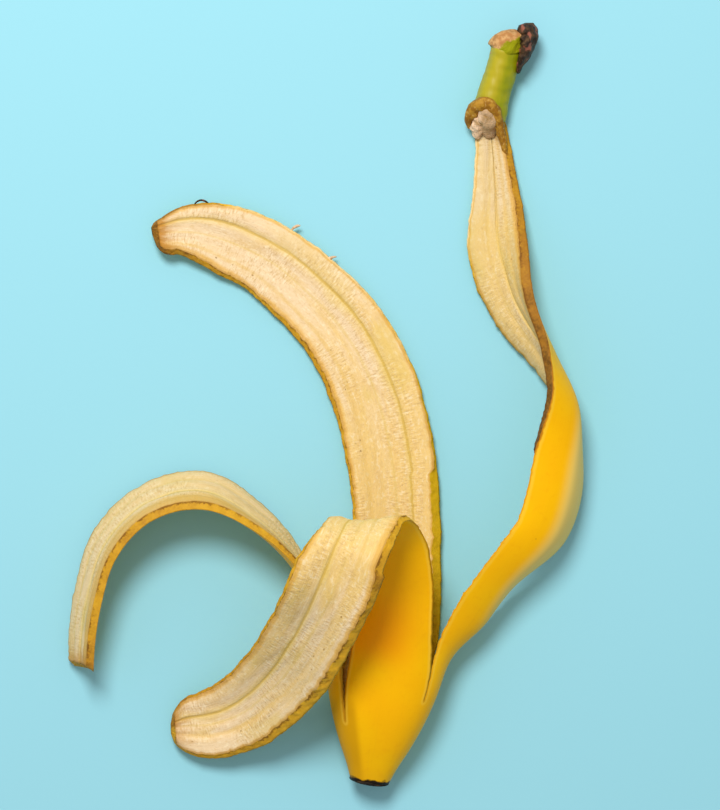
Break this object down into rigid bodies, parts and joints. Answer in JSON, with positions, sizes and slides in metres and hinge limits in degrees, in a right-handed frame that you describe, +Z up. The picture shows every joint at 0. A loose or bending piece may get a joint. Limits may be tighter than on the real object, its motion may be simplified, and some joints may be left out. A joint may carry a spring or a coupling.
{
  "type": "banana peel",
  "caption": "Empty banana peel lying on its side, torn into strips that stay joined at the blossom end, one folded back over the base and one twisted, with the stem on it.",
  "frame": {"origin": "on the floor under the middle of the peel's bounding box", "axes": "+X east, across the peel; +Y along it, from the black blossom tip towards the stem; +Z up"},
  "size_m": [0.1538, 0.2276, 0.0527],
  "materials": {
    "peel": "waxy ripe fruit skin, yellow outside and cream inside"
  },
  "bodies": {
    "root": {"banana_peel": "peel"}
  },
  "joints": []
}
